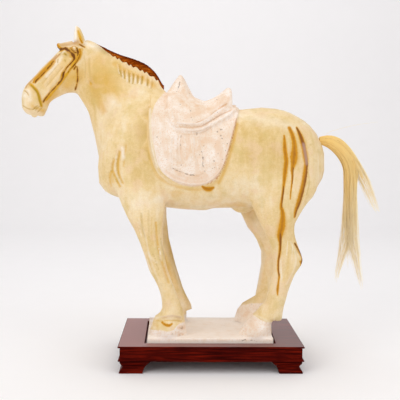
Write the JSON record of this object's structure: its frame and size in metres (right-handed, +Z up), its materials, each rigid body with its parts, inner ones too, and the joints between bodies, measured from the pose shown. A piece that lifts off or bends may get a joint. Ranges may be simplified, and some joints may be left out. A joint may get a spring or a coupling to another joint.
{
  "type": "glazed pottery horse on stand",
  "caption": "Straw-glazed pottery horse with amber splashes and an unglazed saddle, standing on its slab, with horsehair mane and tail, in a carved hardwood stand.",
  "frame": {"origin": "on the ground under the middle of the whole work's bounding box", "axes": "+X from the horse's head towards its tail, +Y from its left side towards its right side, +Z up"},
  "size_m": [0.5725, 0.185, 0.5326],
  "materials": {
    "straw_glaze": "thin straw-coloured lead glaze over white slip, with amber runs; saddle, slab and hooves are bare pinkish white clay",
    "brown_horsehair": "short upright dark red-brown horsehair with fair roots",
    "blond_horsehair": "long blond horsehair, combed and parting into locks",
    "rosewood": "dark red hardwood, polished and lacquered, fine straight grain"
  },
  "bodies": {
    "root": {"horse": "straw_glaze", "mane": "brown_horsehair", "tail": "blond_horsehair", "stand_top": "rosewood", "stand_apron_front": "rosewood", "stand_apron_right": "rosewood", "stand_apron_back": "rosewood", "stand_apron_left": "rosewood", "stand_foot_front_left": "rosewood", "stand_foot_front_right": "rosewood", "stand_foot_back_right": "rosewood", "stand_foot_back_left": "rosewood"}
  },
  "joints": []
}
